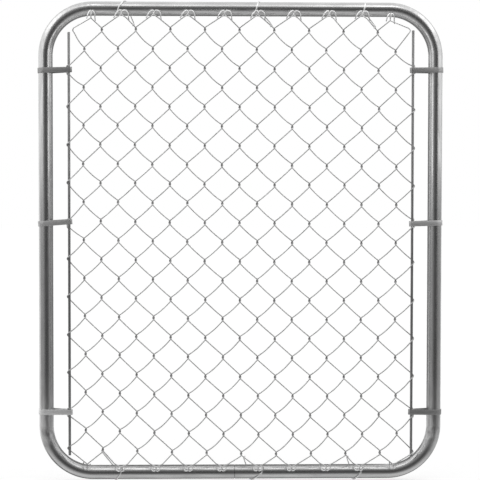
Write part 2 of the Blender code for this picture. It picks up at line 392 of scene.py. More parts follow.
# %% Straighten the coordinates for the streaks
def straightened(point):
    """(outward, back, along) of a point of the bent tube."""
    anchor_x = min(max(point.x, -INNER_X), INNER_X)
    anchor_z = min(max(point.z, LOW_Z), HIGH_Z)
    dx = point.x - anchor_x
    dz = point.z - anchor_z
    outward = math.hypot(dx, dz) - BEND_RADIUS
    along_straights = anchor_x * dz / BEND_RADIUS - anchor_z * dx / BEND_RADIUS
    return outward, point.y, along_straights + BEND_RADIUS * math.atan2(dz, dx)


apply_modifier(tube, "SOLIDIFY", thickness=TUBE_WALL, offset=-1)
tube.data.attributes.new("along_tube", "FLOAT_VECTOR", "POINT")
tube.data.attributes.new("inside_tube", "FLOAT", "POINT")
along = tube.data.attributes["along_tube"]
inside = tube.data.attributes["inside_tube"]
for index, vertex in enumerate(tube.data.vertices):
    outward, back, distance = straightened(vertex.co)
    along.data[index].vector = (outward, back, distance)
    inside.data[index].value = float(math.hypot(outward, back) < TUBE_RADIUS - TUBE_WALL / 2)
finish_piece(tube, "bent_tube", "frame_tube", TUBE_ZINC)
print("wall applied:", len(tube.data.polygons), "faces")

# %% [markdown]
# ## The woven wires
# Chain link is made from flattened spirals. Each wire runs down in a zigzag and turns from the back layer
# to the front, or the other way, wherever it hooks round its neighbour. A flat net would do from afar, but
# not from the side. So each wire is a path of its own: a half turn of a spiral at each crossing, slanting
# arms between, and a hooked knuckle at both ends.

# %% Sizes of the fabric
PICKET_COUNT = 20
ROW_COUNT = 12
WIRE_RADIUS = 0.00145
CLEARANCE = 0.0003
ROD_RADIUS = 0.0032
SELVAGE_INSET = 0.0019
FABRIC_SHIFT = -0.0028
ROD_FROM_STILE = 0.0585
FIRST_COLUMN_FROM_ROD = 0.0365
HALF_KNIT_GAP = 0.0002
ROD_X = STILE_X - ROD_FROM_STILE
COLUMN_PITCH = 2 * (ROD_X - FIRST_COLUMN_FROM_ROD) / (PICKET_COUNT - 2)
ROW_PITCH = (FRAME_HEIGHT - 2 * TUBE_RADIUS - 2 * SELVAGE_INSET) / ROW_COUNT
LAYER_DEPTH = ROD_RADIUS + CLEARANCE + WIRE_RADIUS
FABRIC_Y = -(TUBE_RADIUS + CLEARANCE + WIRE_RADIUS + LAYER_DEPTH)
KNIT_REACH = WIRE_RADIUS + HALF_KNIT_GAP
print("columns every", round(COLUMN_PITCH, 4), "rows every", round(ROW_PITCH, 4))

# %% [markdown]
# A roll of fabric never hangs dead true: this one tips down to the right, and its corners are drawn in.
# A smooth surface in the two directions of the grid gives that lie. On top of it every crossing is nudged
# by a fraction of a millimetre. The draw is seeded, and both wires at a crossing read the same place, so
# they stay hooked together.

# %% Where each crossing lies
MM_PER_METRE = 1000
NUDGE = 0.0006
NUDGE_SEED = 11


def lie(across, down):
    """Millimetres (right, down) off a true grid; across and down run from -1 to 1 over the fabric."""
    right = (-1.0 + 1.2 * across + 1.3 * down + 2.0 * across ** 2 - 4.4 * across * down + 2.2 * down ** 2
             - 3.7 * across ** 3 - 1.5 * across * down ** 2 + 2.0 * down ** 3 + 8.7 * across * down ** 3)
    drop = (1.1 + 3.9 * across - 1.6 * down - 2.3 * across ** 2 + 1.9 * across * down + down ** 2
            - 7.4 * across ** 2 * down)
    return right, drop


def column_x(column):
    return FABRIC_SHIFT + (column - PICKET_COUNT / 2) * COLUMN_PITCH


def half_row_z(step):
    """Height of a half row: 0 is the top edge, and even steps lie on odd columns."""
    return FRAME_HEIGHT / 2 + (ROW_COUNT - step) * ROW_PITCH / 2


nudges = {}
random.seed(NUDGE_SEED)
for column in range(PICKET_COUNT + 1):
    for step in range(2 * ROW_COUNT + 1):
        nudges[column, step] = (random.uniform(-NUDGE, NUDGE), random.uniform(-NUDGE, NUDGE))


def crossing(column, step):
    dx, dz = nudges[column, step]
    right, drop = lie(2 * column / PICKET_COUNT - 1, step / ROW_COUNT - 1)
    return column_x(column) + right / MM_PER_METRE + dx, half_row_z(step) - drop / MM_PER_METRE + dz


print("crossings:", len(nudges))

# %% [markdown]
# A turn is half a turn of a flattened spiral. Sine and cosine give it point by point, which keeps every
# turn alike. At the sides it wraps a round rod instead of its neighbour.

# %% Turns of the wire
FRONT, BACK = -1, 1
LEFT, RIGHT = -1, 1
TURN_HALF_HEIGHT = 0.006
TURN_BULGE = 0.0034
TURN_STEPS = 8
# How steeply a turn that dips opens to its full spread, and the share of it that it starts with.
DIP_STEEPNESS = 2
DIP_AT_START = 0.4


def spiral_turn(x, z, side, reach=KNIT_REACH, bulge=TURN_BULGE, dip=0.0):
    """Points of a turn that reaches out to one side; a dip spreads its two halves up and down."""
    arrives = BACK if side == RIGHT else FRONT
    points = []
    for step in range(TURN_STEPS + 1):
        angle = math.pi * step / TURN_STEPS
        rise = TURN_HALF_HEIGHT * (1 - 2 * step / TURN_STEPS)
        half = 1 if step < TURN_STEPS / 2 else -1
        rise += dip * half * min(1, DIP_STEEPNESS * math.sin(angle) + DIP_AT_START)
        points.append((x + side * (reach - bulge + bulge * math.sin(angle)),
                       FABRIC_Y + arrives * LAYER_DEPTH * math.cos(angle), z + rise))
    return points


print("a turn has", len(spiral_turn(0, 0, RIGHT)), "points")

# %% [markdown]
# Three straps on each side sit on loops of the fabric, and there the loop dips between the strap's legs.
# The straps were pulled tight one by one, so no two sit quite alike.

# %% Turns at the sides
STRAP_WIDTH = 0.013
# The row of loops that each strap sits on, and metres that it sits above it.
STRAP_LEVELS = {"top": (1, -0.0066), "middle": (5, -0.0025), "bottom": (ROW_COUNT - 2, 0.0073)}
STRAP_ROWS = {row: level for level, (row, shift) in STRAP_LEVELS.items()}
# Millimetres by which each strap slid up when it was tightened.
STRAP_LIFT = {(LEFT, "top"): -0.7, (LEFT, "middle"): 0.0, (LEFT, "bottom"): 0.0,
              (RIGHT, "top"): 2.7, (RIGHT, "middle"): 1.5, (RIGHT, "bottom"): -2.7}
# The first turn on each side hangs free of the rod: metres from the rod, and metres it is drawn up.
FREE_CORNERS = {LEFT: (0.0100, 0.0), RIGHT: (0.0070, 0.0060)}


def strap_z(side, level):
    row, shift = STRAP_LEVELS[level]
    return half_row_z(2 * row + 1) + shift + STRAP_LIFT[side, level] / MM_PER_METRE


def edge_turn(row, side):
    column = 0 if side == LEFT else PICKET_COUNT
    z = crossing(column, 2 * row + 1)[1]
    if row == 0:
        inset, lift = FREE_CORNERS[side]
        return spiral_turn(side * (ROD_X - inset), z + lift, side, 0.0)
    if row in STRAP_ROWS:
        return spiral_turn(side * ROD_X, strap_z(side, STRAP_ROWS[row]), side, LAYER_DEPTH, LAYER_DEPTH,
                           STRAP_WIDTH / 2 + WIRE_RADIUS)
    return spiral_turn(side * ROD_X, z, side, LAYER_DEPTH, LAYER_DEPTH)


print("straps on the rows", list(STRAP_ROWS))

# %% [markdown]
# A knuckle is where a pair of wires ends. The two cross just inside the rail, and each is bent over in a
# hook of its own: the front wire comes down behind its partner, and the back wire in front of the first.
# Each hook is drawn through a few given points with a smooth spline. The machine
# that bends the bottom edge leaves narrower hooks.

# %% Forms of the hooks
TOP, BOTTOM = 1, -1
RAIL_Z = {TOP: TOP_RAIL_Z, BOTTOM: BOTTOM_RAIL_Z}
# Points of each hook, in millimetres out to its side, up from the middle of the rail, and from the middle
# of the fabric to the wire's own layer.
FRONT_HOOK = ((-12.0, -24.0, 2.6), (-5.0, -19.2, 2.0), (-0.5, -15.6, 1.65), (1.2, -11.0, 1.65),
              (4.2, -6.6, 0.9), (9.8, -6.2, -0.8), (14.6, -9.2, -2.8), (17.0, -15.0, -4.6),
              (17.4, -22.0, -5.8), (18.6, -30.0, -6.2))
BACK_HOOK = ((-12.0, -24.0, 2.6), (-5.0, -19.2, 2.0), (-0.5, -15.6, 1.65), (0.2, -11.0, 1.65),
             (1.2, -6.0, 0.9), (5.4, -6.4, -1.0), (9.6, -9.8, -3.2), (13.0, -15.0, -5.0),
             (15.2, -19.6, -5.8), (18.2, -25.0, -6.2))
# The height that stays in place when the rising part of a hook is stretched.
HOOK_TOP = -6.0
ARM_POINTS = 2
RISING_POINTS = 4
TAIL_POINTS = {TOP: 6, BOTTOM: 5}
HOOK_WIDTH = {TOP: 1.0, BOTTOM: 0.8}
ARM_SPREAD = {TOP: 1.0, BOTTOM: 1.35}
# Width, stretch, and millimetres short of the rail's middle. The corner pairs, by column and edge, are
# hooked narrower and cross further in.
PLAIN_HOOK = (1.0, 1.0, 0.0)
CORNER_HOOKS = {(1, TOP): (0.55, 1.84, 2.0), (PICKET_COUNT - 1, TOP): (0.6, 1.76, 6.0),
                (1, BOTTOM): (0.66, 1.32, 5.7), (PICKET_COUNT - 1, BOTTOM): (0.66, 1.0, 5.0)}
# Millimetres by which each knuckle stands off its column, left to right.
KNUCKLE_DRIFT = {TOP: (20.0, 8.5, 2.0, -0.5, 4.0, 0.0, 2.5, 3.5, -0.5, -17.0),
                 BOTTOM: (8.5, 6.5, 7.5, 2.0, -0.5, 3.0, 0.5, 0.0, -3.0, -4.0)}
print("knuckles:", len(KNUCKLE_DRIFT[TOP]), "above and", len(KNUCKLE_DRIFT[BOTTOM]), "below")

# %% Knuckles at the two edges
HOOK_STEPS = 4


def knuckle_x(column, edge):
    return column_x(column) + KNUCKLE_DRIFT[edge][column // 2] / MM_PER_METRE


def smooth(points, steps):
    """A smooth spline that passes through all its points."""
    points = [Vector(p) for p in points]
    ends = [2 * points[0] - points[1]] + points + [2 * points[-1] - points[-2]]
    path = []
    for a, b, c, d in zip(ends, ends[1:], ends[2:], ends[3:]):
        for step in range(steps):
            t = step / steps
            path.append(0.5 * (2 * b + (c - a) * t + (2 * a - 5 * b + 4 * c - d) * t * t
                               + (3 * b - a - 3 * c + d) * t ** 3))
    return path + [points[-1]]


def knuckle(column, side, layer, edge):
    """Points of one hooked end, from its arm to its tail. A corner hook leaves out the arm's own points."""
    hook = FRONT_HOOK if layer == FRONT else BACK_HOOK
    narrow, stretch, short = CORNER_HOOKS.get((column, edge), PLAIN_HOOK)
    first = ARM_POINTS if (column, edge) in CORNER_HOOKS else 0
    points = []
    for index in range(first, RISING_POINTS + TAIL_POINTS[edge]):
        out, rise, depth = hook[index]
        out *= HOOK_WIDTH[edge] * narrow if out > 0 else ARM_SPREAD[edge]
        if index < RISING_POINTS:
            rise = HOOK_TOP + (rise - HOOK_TOP) * stretch
        points.append((knuckle_x(column, edge) + side * out / MM_PER_METRE,
                       FABRIC_Y + layer * depth / MM_PER_METRE,
                       RAIL_Z[edge] + edge * (rise - short) / MM_PER_METRE))
    return smooth(points, HOOK_STEPS)


print("a top hook has", len(knuckle(3, RIGHT, FRONT, TOP)), "points")

# %% [markdown]
# Now each wire is strung: its top hook, the turns down its two columns, and its bottom hook. The arms
# between the turns are never quite straight: they sag by up to four millimetres.

# %% The path of one wire
ARM_SAG = 0.0016
ARM_SAG_CHANGE = 0.00265
ARM_STEPS = 6


def columns_of(number):
    """The column of a wire's hooks, and the column of its other turns."""
    return (number, number - 1) if number % 2 else (number - 1, number)


def sagging_arm(start, end):
    """Points between two turns: arms that lean right sag more low down, and the others more high up."""
    start = Vector(start)
    end = Vector(end)
    lean = RIGHT if end.x < start.x else LEFT
    down = (FRAME_HEIGHT - start.z - end.z) / (ROW_COUNT * ROW_PITCH)
    sag = max(0, ARM_SAG + ARM_SAG_CHANGE * lean * down)
    shares = [step / ARM_STEPS for step in range(1, ARM_STEPS)]
    return [start.lerp(end, share) - Vector((0, 0, 4 * sag * share * (1 - share))) for share in shares]


def picket_path(number):
    hook_column, turn_column = columns_of(number)
    hooks_right = hook_column > turn_column
    hook_side = RIGHT if hooks_right else LEFT
    top_layer = FRONT if hooks_right else BACK
    points = knuckle(hook_column, hook_side, top_layer, TOP)[::-1]
    for step in range(1, 2 * ROW_COUNT):
        on_hook_column = step % 2 == 0
        column = hook_column if on_hook_column else turn_column
        side = hook_side if on_hook_column else -hook_side
        if column in (0, PICKET_COUNT):
            turn = edge_turn(step // 2, side)
        else:
            turn = spiral_turn(*crossing(column, step), side)
        if step > 1:
            points += sagging_arm(points[-1], turn[0])
        points += turn
    return points + knuckle(hook_column, hook_side, -top_layer, BOTTOM)


print("the first wire has", len(picket_path(1)), "points")

# %% [markdown]
# The wire itself is a round bevel along that path, which is made a mesh once the path is right. A mesh
# can be swept by hand as the tube was, but a path with hundreds of turns is a curve's own work. Each mesh
# then stores how near it is to each crossing, where its finish paints shade.

# %% A round bar along a path
def round_wire(points, radius, sides):
    """A round bar along points, with closed ends, as a mesh."""
    curve = bpy.data.curves.new("wire", "CURVE")
    curve.dimensions = "3D"
    curve.bevel_depth = radius
    # A round bevel has four sides, and two more for each step of its resolution.
    curve.bevel_resolution = sides // 2 - 2
    curve.use_fill_caps = True
    spline = curve.splines.new("POLY")
    spline.points.add(len(points) - 1)
    for control, point in zip(spline.points, points):
        control.co = (*point, 1.0)
    bar = bpy.data.objects.new("wire", curve)
    bpy.context.scene.collection.objects.link(bar)
    activate(bar)
    bpy.ops.object.convert(target="MESH")
    return bpy.context.object


print("wires are", 2 * WIRE_RADIUS, "thick")

# %% String the twenty wires
WIRE_SIDES = 8
WIRE_SMOOTH_ANGLE = 70
# How far the painted shade of a crossing reaches, and how far above the crossing's middle it centres.
SHADE_REACH = 0.0065
SHADE_LIFT = 0.0014


def mark_crossings(wire, number):
    """Stores how near each point is to a crossing's painted shade, on its upper half: 1 on it, 0 out of
    reach.
    """
    hook_column, turn_column = columns_of(number)
    painted_crossing_shade = wire.data.attributes.new("painted_crossing_shade", "FLOAT", "POINT")
    for mark, vertex in zip(painted_crossing_shade.data, wire.data.vertices):
        step = round(2 * (half_row_z(0) - vertex.co.z) / ROW_PITCH)
        gap = SHADE_REACH
        for near in range(max(step - 1, 1), min(step + 2, 2 * ROW_COUNT)):
            x, z = crossing(turn_column if near % 2 else hook_column, near)
            gap = min(gap, math.hypot(vertex.co.x - x, vertex.co.z - z - SHADE_LIFT))
        mark.value = 1 - gap / SHADE_REACH


for number in range(1, PICKET_COUNT + 1):
    wire = round_wire(picket_path(number), WIRE_RADIUS, WIRE_SIDES)
    mark_crossings(wire, number)
    finish_piece(wire, f"woven_wire_{number:02d}", f"picket_{number:02d}", WIRE_ZINC,
                 WIRE_SMOOTH_ANGLE)
print("wires strung:", PICKET_COUNT, "faces each about", len(wire.data.polygons))

# %% [markdown]
# ## Tension rods
# A plain dark steel rod runs through the edge loops on each side. A curve could give it too, but a cylinder
# has flat ends, and their rims can be picked out and get a small bevel, as a grinder leaves them.

# %% Two rods with eased ends
SIDES = {"left": LEFT, "right": RIGHT}
ROD_SIDES = 24
ROD_TOP_DROPS = {LEFT: 0.010, RIGHT: 0.003}
ROD_BOTTOM_REACH = {LEFT: 0.0035, RIGHT: 0.0088}
ROD_END_BEVEL = 0.0008
BEVEL_SEGMENTS = 2
SAME_PLACE = 1e-5


def select_rims(bar):
    """Selects the rims of an upright bar's two ends, in edit mode."""
    mesh = bmesh.from_edit_mesh(bar.data)
    heights = [vertex.co.z for vertex in mesh.verts]
    ends = (min(heights), max(heights))
    for edge in mesh.edges:
        gaps = [max(abs(vertex.co.z - end) for vertex in edge.verts) for end in ends]
        edge.select_set(min(gaps) < SAME_PLACE)
    bmesh.update_edit_mesh(bar.data)


for side_name, side in SIDES.items():
    rod_top = half_row_z(1) - ROD_TOP_DROPS[side]
    rod_bottom = half_row_z(2 * ROW_COUNT - 1) - ROD_BOTTOM_REACH[side]
    deselect()
    bpy.ops.mesh.primitive_cylinder_add(vertices=ROD_SIDES, radius=ROD_RADIUS, depth=rod_top - rod_bottom)
    rod = bpy.context.object
    rod.data.transform(Matrix.Translation((side * ROD_X, FABRIC_Y, (rod_top + rod_bottom) / 2)))
    bpy.ops.object.mode_set(mode="EDIT")
    bpy.ops.mesh.select_all(action="DESELECT")
    select_rims(rod)
    bpy.ops.mesh.bevel(offset=ROD_END_BEVEL, segments=BEVEL_SEGMENTS)
    bpy.ops.object.mode_set(mode="OBJECT")
    finish_piece(rod, f"stretcher_rod_{side_name}", f"tension_rod_{side_name}", ROD_STEEL)
    print("rod:", side_name, round(rod_top - rod_bottom, 3), "long")

# %% [markdown]
# ## Straps
# Each strap is a strip of flat steel, bent round the stile and the rod with its ends lapped at the back.
# A swept curve could follow the same bends, but its ends are easier to lap when it is bent as by hand: a
# flat strip is spun round the stile, carried across, spun round the rod and brought back over its own
# end. Solidify then gives the sheet its thickness, and a bevel eases its edges.

# %% A flat strip and its bends
STRAP_THICKNESS = 0.0016
STRAP_EDGE = 0.0003
STRAP_SLACK = 0.0025
# Shares of the way from the rod to the stile: where the inner end lies, where the outer end starts to lap
# over it, and where the outer end lies.
LAP_INNER, LAP_START, LAP_OUTER = 0.42, 0.30, 0.70
STILE_TURN = TUBE_RADIUS + CLEARANCE + STRAP_THICKNESS / 2
ROD_TURN = ROD_RADIUS + CLEARANCE + STRAP_THICKNESS / 2
STILE_TURN_STEPS, ROD_TURN_STEPS = 28, 14


def flat_strip(start, end):
    """An upright strip between two places, as seen from above."""
    run = end - start
    middle = start + run / 2
    deselect()
    bpy.ops.mesh.primitive_plane_add(size=1)
    strip = bpy.context.object
    strip.data.transform(Matrix.Translation((*middle, 0))
                         @ Matrix.Rotation(math.atan2(run.y, run.x), 4, "Z")
                         @ Matrix.Rotation(math.pi / 2, 4, "X")
                         @ Matrix.Diagonal((run.length, STRAP_WIDTH, 1, 1)))
    return strip


def select_end(strip, place):
    """Selects the strip's edge that stands at a place, in edit mode."""
    mesh = bmesh.from_edit_mesh(strip.data)
    for edge in mesh.edges:
        gaps = [math.hypot(vertex.co.x - place.x, vertex.co.y - place.y) for vertex in edge.verts]
        edge.select_set(max(gaps) < SAME_PLACE)
    bmesh.update_edit_mesh(strip.data)


def bend_round(steps, angle, place):
    bpy.ops.mesh.spin(steps=steps, angle=angle, center=(*place, 0), axis=(0, 0, 1))


print("strap turns:", round(STILE_TURN, 5), "round the stile,", round(ROD_TURN, 5), "round the rod")

# %% Bend six straps
# Degrees by which each strap tips, right end up, as seen from the front, and how light its steel is
# painted.
STRAP_LOOK = {(LEFT, "top"): (1.0, 0.36), (LEFT, "middle"): (4.5, 0.56), (LEFT, "bottom"): (1.3, 0.95),
              (RIGHT, "top"): (1.5, 0.43), (RIGHT, "middle"): (1.5, 0.68), (RIGHT, "bottom"): (-2.0, 0.47)}
STRAP_DARK, STRAP_LIGHT = 0.8, 1.05
STRAP_ROUGH = (0.4, 0.6)
STRAP_GRAIN = (120, 120, 200)


def bend_strap(side):
    """A strap round a stile at the origin and the rod beside it."""
    hand = -side
    stile_place = Vector((0, 0))
    rod_place = Vector((hand * (ROD_FROM_STILE + STRAP_SLACK), FABRIC_Y))
    lean = math.atan2(rod_place.y, abs(rod_place.x))
    spread = math.acos((STILE_TURN - ROD_TURN) / rod_place.length)
    back = Vector((hand * math.cos(lean + spread), math.sin(lean + spread)))
    front = Vector((hand * math.cos(lean - spread), math.sin(lean - spread)))
    leg_start = rod_place + back * ROD_TURN
    leg_end = back * STILE_TURN
    leg = leg_end - leg_start
    strap = flat_strip(leg_start + leg * LAP_INNER, leg_end)
    bpy.ops.object.mode_set(mode="EDIT")
    bpy.ops.mesh.select_mode(type="EDGE")
    bpy.ops.mesh.select_all(action="DESELECT")
    select_end(strap, leg_end)
    bend_round(STILE_TURN_STEPS, -hand * (2 * math.pi - 2 * spread), stile_place)
    extrude(*(rod_place + front * ROD_TURN - front * STILE_TURN), 0)
    bend_round(ROD_TURN_STEPS, -hand * 2 * spread, rod_place)
    extrude(*(leg * LAP_START + back * (STRAP_THICKNESS + CLEARANCE)), 0)
    extrude(*(leg * (LAP_OUTER - LAP_START)), 0)
    close_seams()
    bpy.ops.mesh.select_mode(type="VERT")
    bpy.ops.object.mode_set(mode="OBJECT")
    apply_modifier(strap, "SOLIDIFY", thickness=STRAP_THICKNESS, offset=0, use_even_offset=True)
    apply_modifier(strap, "BEVEL", width=STRAP_EDGE, segments=BEVEL_SEGMENTS, limit_method="ANGLE")
    return strap


for side_name, side in SIDES.items():
    for level in STRAP_LEVELS:
        spot = f"{side_name}_{level}"
        tilt, shade = STRAP_LOOK[side, level]
        strap = bend_strap(side)
        on_stile = Matrix.Translation((side * STILE_X, 0, strap_z(side, level)))
        strap.data.transform(on_stile @ Matrix.Rotation(math.radians(-tilt), 4, "Y"))
        # Each strap's copy of the steel is painted lighter or darker: painted light and shade for how
        # brightly it is lit.
        greys = (STRAP_DARK * shade, STRAP_LIGHT * shade)
        steel = metal(f"strap_steel_{spot}", greys, STRAP_ROUGH, STRAP_GRAIN)
        finish_piece(strap, f"flat_strap_{spot}", f"strap_{spot}", steel)
print("strap:", [round(v, 4) for v in strap.dimensions], len(strap.data.polygons), "faces")

# %% [markdown]
# ## Ties
# A tie is a bright soft wire: tucked behind a knuckle, wound over the rail and hooked on the knuckle's
# back wire. The path is given by a few places, and the arc over the rail hugs the tube. The same smooth
# spline and round bevel as for the wires then make the bar.

# %% The path of a tie
TIE_RADIUS = 0.0016
# Where a tie starts: metres back from the front of its winding, in from the rail's middle, and aside.
TIE_TUCK_LEAN = 0.0020
TIE_TUCK_DEPTH = 0.013
TIE_TUCK_ASIDE = 0.004
TIE_WRAP = math.radians(232)
TIE_WRAP_STEPS = 20
# Degrees round the wire at which the hook starts, and that it sweeps.
TIE_HOOK_START, TIE_HOOK_SWEEP = 20, 235
TIE_HOOK_STEPS = 10
TIE_STEPS = 3


def back_wire(column, edge):
    """The back wire at a knuckle, measured from the rail: its foot and its next turn."""
    out, rise, depth = BACK_HOOK[0]
    foot = Vector((-out / MM_PER_METRE, FABRIC_Y + depth / MM_PER_METRE, rise / MM_PER_METRE))
    turn_x, turn_z = crossing(column + edge, 1 if edge == TOP else 2 * ROW_COUNT - 1)
    next_turn = Vector((edge * (turn_x - knuckle_x(column, edge)) + KNIT_REACH, FABRIC_Y + LAYER_DEPTH,
                        edge * (turn_z - RAIL_Z[edge]) + TURN_HALF_HEIGHT))
    return foot, next_turn


def tie_path(column, edge, start, drift, early, hook_share):
    wrap = TUBE_RADIUS + CLEARANCE + TIE_RADIUS
    points = [Vector((start - TIE_TUCK_ASIDE, TIE_TUCK_LEAN - wrap, -TIE_TUCK_DEPTH))]
    for step in range(TIE_WRAP_STEPS + 1):
        angle = math.pi - TIE_WRAP * step / TIE_WRAP_STEPS
        along_rail = start + drift * (1 - (1 - step / TIE_WRAP_STEPS) ** early)
        points.append(Vector((along_rail, wrap * math.cos(angle), wrap * math.sin(angle))))
    foot, next_turn = back_wire(column, edge)
    wire_way = (next_turn - foot).normalized()
    centre = foot.lerp(next_turn, hook_share)
    across = Vector((-wire_way.z, 0, wire_way.x)).normalized()
    reach = WIRE_RADIUS + TIE_RADIUS + CLEARANCE
    for step in range(TIE_HOOK_STEPS + 1):
        angle = math.radians(TIE_HOOK_START - TIE_HOOK_SWEEP * step / TIE_HOOK_STEPS)
        points.append(centre + across * reach * math.sin(angle) + Vector((0, reach * math.cos(angle), 0)))
    base_x = knuckle_x(column, edge)
    return smooth([(base_x + edge * p.x, p.y, RAIL_Z[edge] + edge * p.z) for p in points], TIE_STEPS)


print("ties wind", round(math.degrees(TIE_WRAP)), "degrees round a rail")

# %% Wind the six ties
TIE_SIDES = 10
TIE_COLUMNS = {"left": 3, "centre": 11, "right": PICKET_COUNT - 3}
# Where each tie leaves its knuckle and how far it drifts as it winds, in millimetres along the rail, and
# how early it drifts: 1 is even.
TIE_RUN = {"top_left": (-7, 28, 1.57), "top_centre": (-2.7, 20, 0.85), "top_right": (6, 11, 1.0),
           "bottom_left": (1, 21, 2.5), "bottom_centre": (-9, 38, 2.5), "bottom_right": (-5, 27, 2.5)}
# How far along the wire, from its knuckle to its next turn, a tie is hooked on.
TIE_HOOK_SHARE = 0.72
TIE_HOOK_FAR = {"bottom_left": 1.0}

for edge_name, edge in (("top", TOP), ("bottom", BOTTOM)):
    for place_name, column in TIE_COLUMNS.items():
        spot = f"{edge_name}_{place_name}"
        start, drift, early = TIE_RUN[spot]
        hook_share = TIE_HOOK_FAR.get(spot, TIE_HOOK_SHARE)
        path = tie_path(column, edge, start / MM_PER_METRE, drift / MM_PER_METRE, early, hook_share)
        tie = round_wire(path, TIE_RADIUS, TIE_SIDES)
        finish_piece(tie, f"wire_tie_{spot}", f"tie_{spot}", TIE_BRIGHT, WIRE_SMOOTH_ANGLE)
print("ties wound:", len(TIE_RUN), "faces each:", len(tie.data.polygons))

# %% [markdown]
# ## Studio
# The gate stands on a plain white floor before white. The floor is matt and takes the gate's shadow. It is
# lifted to white for the camera alone, because more light would wash out the zinc. The metal doesn't mirror
# it either: so bright a floor would fill the dark band along the tube.

# %% Floor
FLOOR_SIZE = 40
FLOOR_DROP = 0.001
FLOOR_GREY = 0.4
FLOOR_LIFT = 0.69
FLOOR_Z = cad_box[0][2] - FLOOR_DROP


def stage_plane(name, width, height, matrix, material):
    """A flat stage object, placed round the gate's middle."""
    deselect()
    bpy.ops.mesh.primitive_plane_add(size=1)
    plane = bpy.context.object
    plane.name = name
    plane.data.transform(TO_ROW @ matrix @ Matrix.Diagonal((width, height, 1, 1)))
    plane.data.materials.append(material)
    return plane


def shadowed_white(name, colour, lift):
    """A matt pale surface that takes shadows, lifted to white for the camera alone."""
    material = bpy.data.materials.new(name)
    material.use_nodes = True
    tree = material.node_tree
    shader = tree.nodes["Principled BSDF"]
    shader.inputs["Base Color"].default_value = grey(colour)
    shader.inputs["Roughness"].default_value = 1.0
    shader.inputs["Specular IOR Level"].default_value = 0.0
    shader.inputs["Emission Color"].default_value = grey(lift)
    sight = tree.nodes.new("ShaderNodeLightPath")
    tree.links.new(sight.outputs["Is Camera Ray"], shader.inputs["Emission Strength"])
    return material


floor_white = shadowed_white("floor_white", FLOOR_GREY, FLOOR_LIFT)
floor = stage_plane("floor", FLOOR_SIZE, FLOOR_SIZE, Matrix.Translation((0, 0, FLOOR_Z)), floor_white)
floor.visible_glossy = False
print("floor at", round(FLOOR_Z, 4))

# %% [markdown]
# Zinc only looks round if it has something to mirror, so panels stand round the gate as a product
# photographer would set them up. Lamps would give spots, and a panel gives the long even bands that the
# picture shows. Only the metal sees them: they are hidden from the camera and put no light on the floor.
# On each side a tall panel stands below a brighter one, which lights the outside of the bends. A narrow
# fin stands edge on before the middle, where only the inner sides of the stiles see its faces.

# %% Upright panels
PANEL_X = 1.7
PANEL_DEPTH = (-1.7, 0.6)
# Lowest and highest edge of each panel, and its brightness.
PANELS = {"side": (0.75, 1.75, 1.15), "upper": (1.75, 2.9, 1.9)}
FIN_DEPTH = (-0.56, -0.37)
FIN_LOW, FIN_HIGH, FIN_LEVEL = 0.70, 1.15, 1.5


def glowing(name, level):
    """A plain surface of one brightness, whatever the light."""
    material = bpy.data.materials.new(name)
    material.use_nodes = True
    tree = material.node_tree
    tree.nodes.remove(tree.nodes["Principled BSDF"])
    glow = tree.nodes.new("ShaderNodeEmission")
    glow.inputs["Color"].default_value = grey(level)
    tree.links.new(glow.outputs["Emission"], tree.nodes["Material Output"].inputs["Surface"])
    return material


def mirrored_plane(name, width, height, matrix, material):
    """A stage plane that shows in the metal alone."""
    plane = stage_plane(name, width, height, matrix, material)
    plane.visible_camera = False
    plane.visible_diffuse = False
    plane.visible_shadow = False


def upright_panel(name, x, depth, low, high, material):
    front, rear = depth
    middle = Matrix.Translation((x, (front + rear) / 2, (low + high) / 2))
    upright = middle @ Matrix.Rotation(math.pi / 2, 4, "Y")
    mirrored_plane(name, high - low, rear - front, upright, material)


for panel_name, (low, high, level) in PANELS.items():
    panel_light = glowing(f"{panel_name}_panel_light", level)
    for side_name, side in SIDES.items():
        name = f"{panel_name}_panel_{side_name}"
        upright_panel(name, side * PANEL_X, PANEL_DEPTH, low, high, panel_light)
upright_panel("middle_fin", 0, FIN_DEPTH, FIN_LOW, FIN_HIGH, glowing("fin_light", FIN_LEVEL))
print("panels at", PANEL_X, "either side, fin from", *FIN_DEPTH)

# %% [markdown]
# A grey card close behind the mesh draws a darker line along the tube's inner edges. Two panels overhead
# light the tops of the rails and bends.

# %% Grey card and panels overhead
CARD_Y = 0.28
CARD_INSET = 0.10
CARD_LEVEL = 0.25
CEILING_Z = 4.0
CEILING_LEVEL = 2.4
CEILING_FRONT, CEILING_REAR = -3.0, -1.2
CEILING_SPANS = {"left": (-0.95, -0.28), "right": (0.60, 1.30)}

behind = Matrix.Translation((0, CARD_Y, FRAME_HEIGHT / 2)) @ Matrix.Rotation(math.pi / 2, 4, "X")
mirrored_plane("grey_card", FRAME_WIDTH - 2 * CARD_INSET, FRAME_HEIGHT - 2 * CARD_INSET, behind,
               glowing("card_grey", CARD_LEVEL))
ceiling_light = glowing("ceiling_light", CEILING_LEVEL)
for side_name, (low_x, high_x) in CEILING_SPANS.items():
    overhead = Matrix.Translation(((low_x + high_x) / 2, (CEILING_FRONT + CEILING_REAR) / 2, CEILING_Z))
    mirrored_plane(f"ceiling_panel_{side_name}", high_x - low_x, CEILING_REAR - CEILING_FRONT, overhead,
                   ceiling_light)
print("card at", CARD_Y, "ceiling at", CEILING_Z)

# %% [markdown]
# The rest of the light comes from the world, which is built from the direction of each ray alone: a ramp
# over the angle from the dark room behind the camera, and a second ramp over the height, for the light
# above and the bright floor in front. Ramps have no edges, so they give the zinc soft bands.

# %% Angle and height of a ray
DARK_SIDE = Vector((0.22, -1.0, -0.13)).normalized()
world = bpy.data.worlds.new("studio")
bpy.context.scene.world = world
world.use_nodes = True
studio = world.node_tree
direction = studio.nodes.new("ShaderNodeTexCoord").outputs["Generated"]
facing = studio.nodes.new("ShaderNodeVectorMath")
facing.operation = "DOT_PRODUCT"
facing.inputs[1].default_value = DARK_SIDE
studio.links.new(direction, facing.inputs[0])
